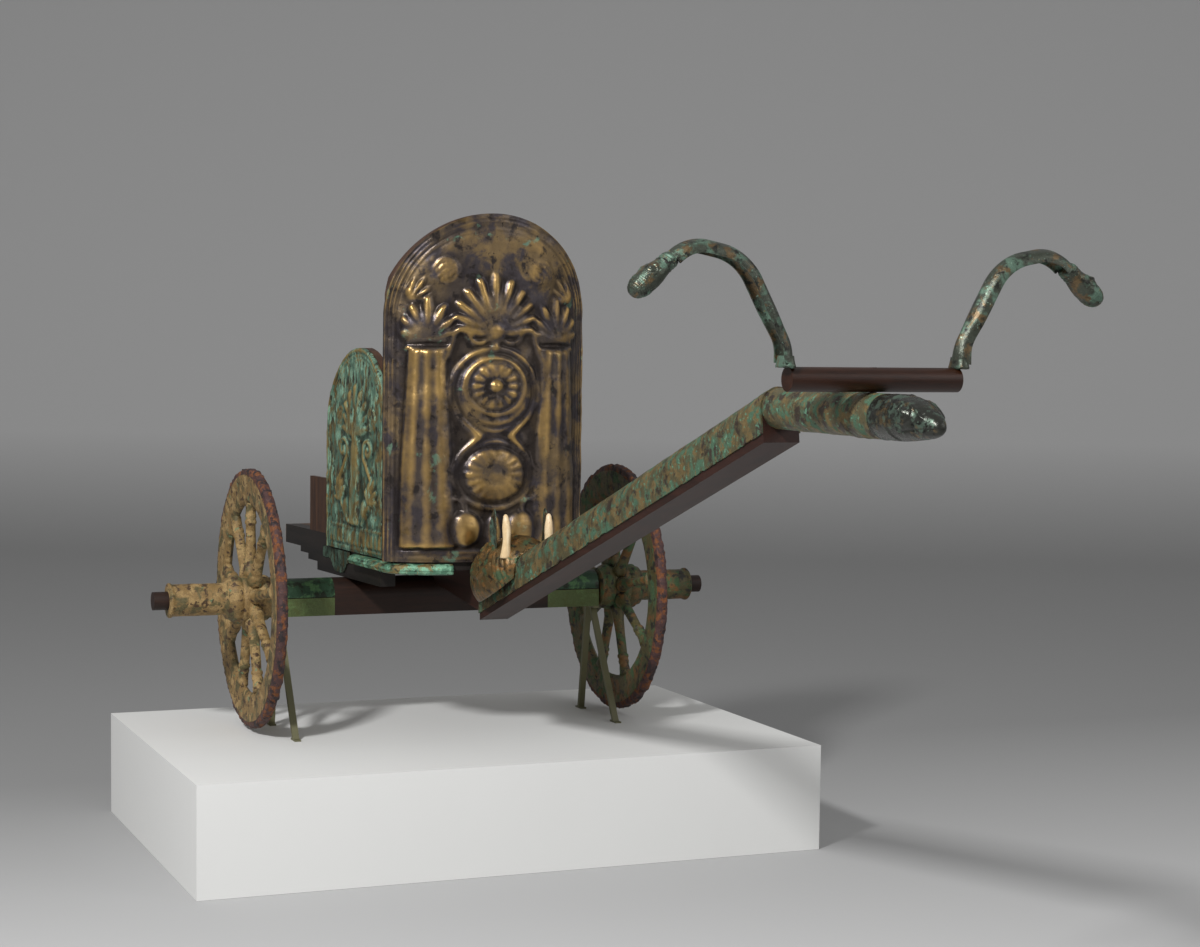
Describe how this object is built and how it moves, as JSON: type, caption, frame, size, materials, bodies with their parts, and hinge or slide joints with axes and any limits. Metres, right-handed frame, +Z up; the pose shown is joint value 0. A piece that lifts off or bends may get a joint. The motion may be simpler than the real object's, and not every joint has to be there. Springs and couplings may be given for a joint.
{
  "type": "two-wheeled ceremonial chariot on a display plinth",
  "caption": "Ancient two-wheeled ceremonial chariot in bronze on a wooden core, with upright panels, a bent pole and a yoke, held on legs over a white plinth.",
  "frame": {"origin": "on the floor, at the middle of the plinth's underside below the middle of the axle", "axes": "+X forward along the pole, +Y to the chariot's left, +Z up"},
  "size_m": [2.973, 1.584, 1.579],
  "materials": {
    "white_paint": "smooth matt white paint",
    "leg_paint": "matt olive grey",
    "dark_beam_wood": "dark stained, satin",
    "black_rail_wood": "black stained, matt",
    "board_wood": "dark stained, matt",
    "red_brown_wood": "stained, satin",
    "brown_bronze": "patinated bronze, worn highs",
    "green_bronze": "green patina, matt",
    "mottled_bronze": "mottled patina, matt",
    "dark_bronze": "dark patina, satin",
    "khaki_bronze": "tan patina, matt",
    "rusty_iron": "rusted, rough",
    "ivory": "aged ivory, satin"
  },
  "bodies": {
    "root": {"axle": "dark_beam_wood", "floor_board": "board_wood", "floor_frame": "black_rail_wood", "front_panel": "brown_bronze", "front_rail": "board_wood", "left_axle_saddle": "leg_paint", "left_axle_sleeve": "green_bronze", "left_base_moulding": "green_bronze", "left_ear": "green_bronze", "left_frame_chock": "board_wood", "left_frieze_strip": "green_bronze", "left_front_leg": "leg_paint", "left_rear_leg": "leg_paint", "left_side_board": "board_wood", "left_side_panel": "green_bronze", "left_side_rail": "board_wood", "left_tusk": "ivory", "left_yoke_arm": "dark_bronze", "left_yoke_head": "dark_bronze", "plinth": "white_paint", "pole_collar": "mottled_bronze", "pole_core": "red_brown_wood", "pole_cowl": "mottled_bronze", "pole_finial": "dark_bronze", "pole_root": "board_wood", "pole_sheath_front": "mottled_bronze", "pole_sheath_lower": "mottled_bronze", "pole_sheath_upper": "mottled_bronze", "right_axle_saddle": "leg_paint", "right_axle_sleeve": "green_bronze", "right_base_moulding": "green_bronze", "right_ear": "green_bronze", "right_frame_chock": "board_wood", "right_frieze_strip": "green_bronze", "right_front_leg": "leg_paint", "right_rear_leg": "leg_paint", "right_side_board": "board_wood", "right_side_panel": "green_bronze", "right_side_rail": "board_wood", "right_tusk": "ivory", "right_yoke_arm": "dark_bronze", "right_yoke_head": "dark_bronze", "yoke_bar": "red_brown_wood", "yoke_pin": "red_brown_wood"},
    "right_wheel": {"right_nave": "khaki_bronze", "right_rim": "khaki_bronze", "right_spokes": "khaki_bronze", "right_tyre": "rusty_iron"},
    "left_wheel": {"left_nave": "khaki_bronze", "left_rim": "khaki_bronze", "left_spokes": "khaki_bronze", "left_tyre": "rusty_iron"}
  },
  "joints": [
    {"name": "right_wheel_spin", "type": "hinge", "parent": "root", "child": "right_wheel", "pos_m": [0, -0.504, 0.605], "axis": [0, 1, 0], "continuous": true},
    {"name": "left_wheel_spin", "type": "hinge", "parent": "root", "child": "left_wheel", "pos_m": [0, 0.504, 0.605], "axis": [0, 1, 0], "continuous": true}
  ]
}
